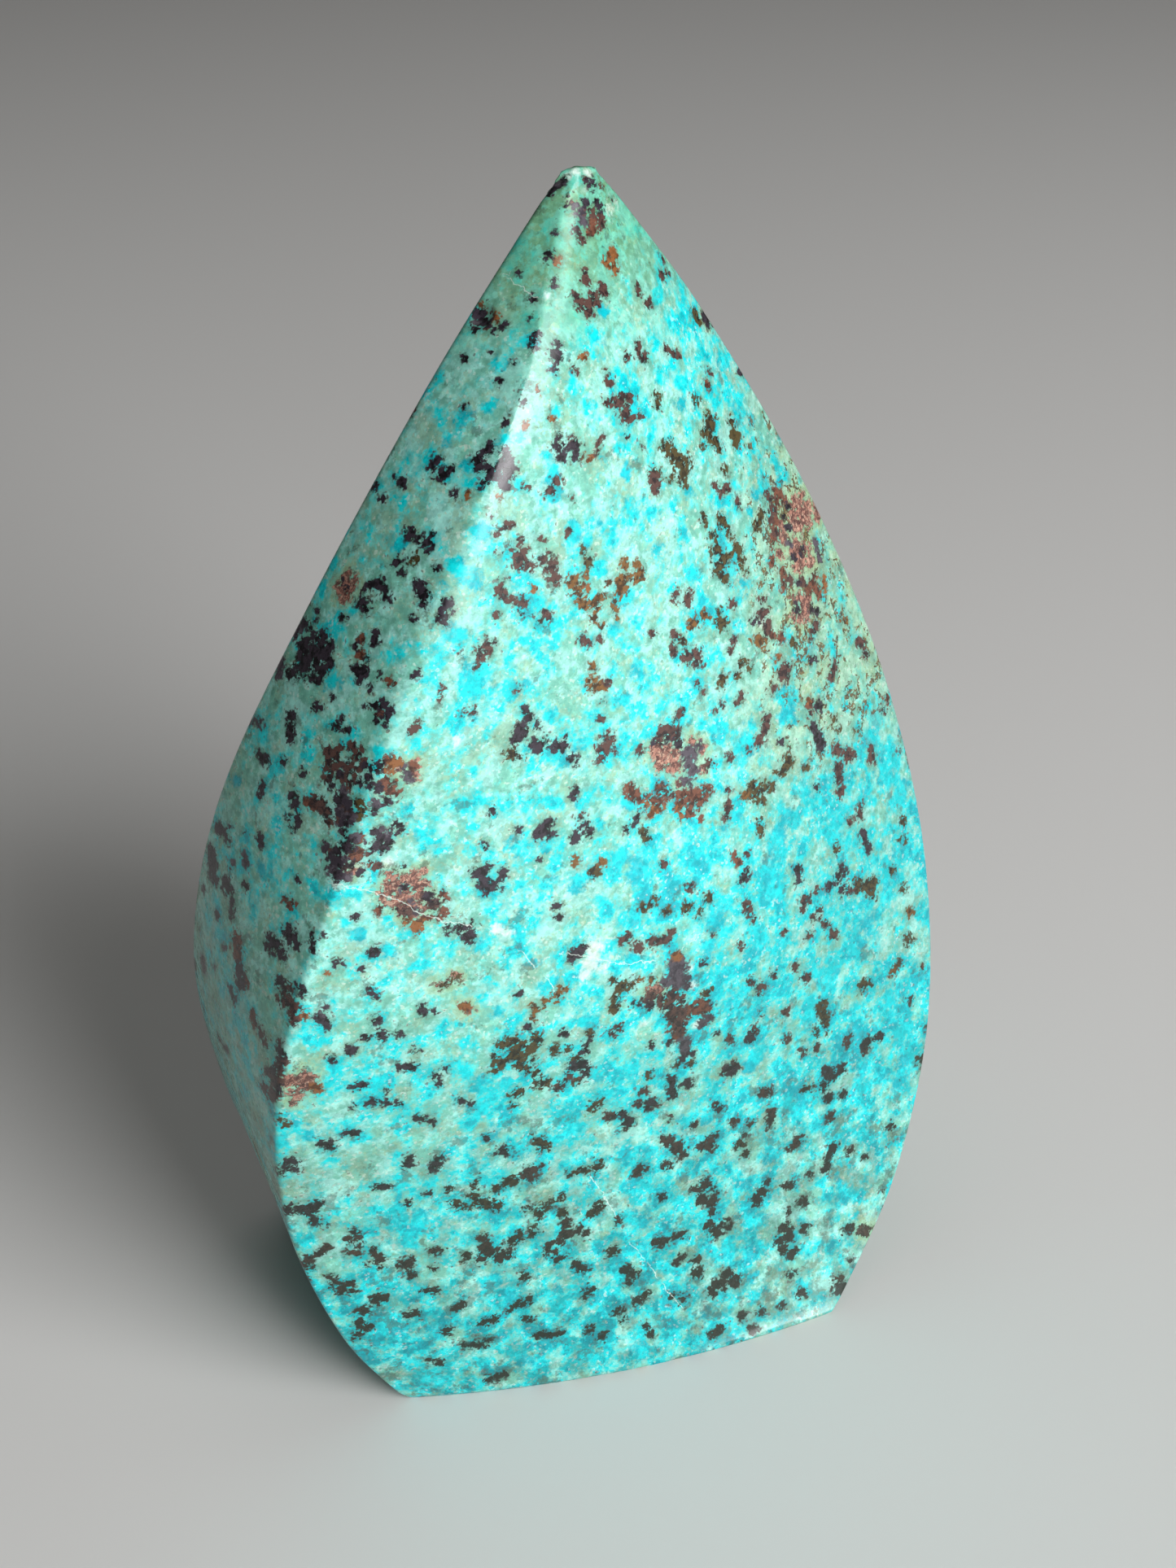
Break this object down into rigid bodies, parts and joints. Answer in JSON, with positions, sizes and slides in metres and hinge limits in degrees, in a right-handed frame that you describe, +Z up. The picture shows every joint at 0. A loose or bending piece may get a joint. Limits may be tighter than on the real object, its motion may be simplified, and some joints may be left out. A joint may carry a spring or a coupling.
{
  "type": "polished stone flame carving",
  "caption": "Free-standing polished stone flame: a swelling leaf of rock with turning ridges that meet in a worn tip above a flat base. Ornament for a shelf or desk.",
  "frame": {"origin": "on the base plane, under the middle of the stone", "axes": "+Z up towards the tip, +X to the right along the front edge of the base, -Y out of the broad front face"},
  "size_m": [0.064, 0.036, 0.1],
  "materials": {
    "stone": "polished natural stone, pale green and turquoise with dark brown and black speckles, satin gloss"
  },
  "bodies": {
    "root": {"flame_stone": "stone"}
  },
  "joints": []
}
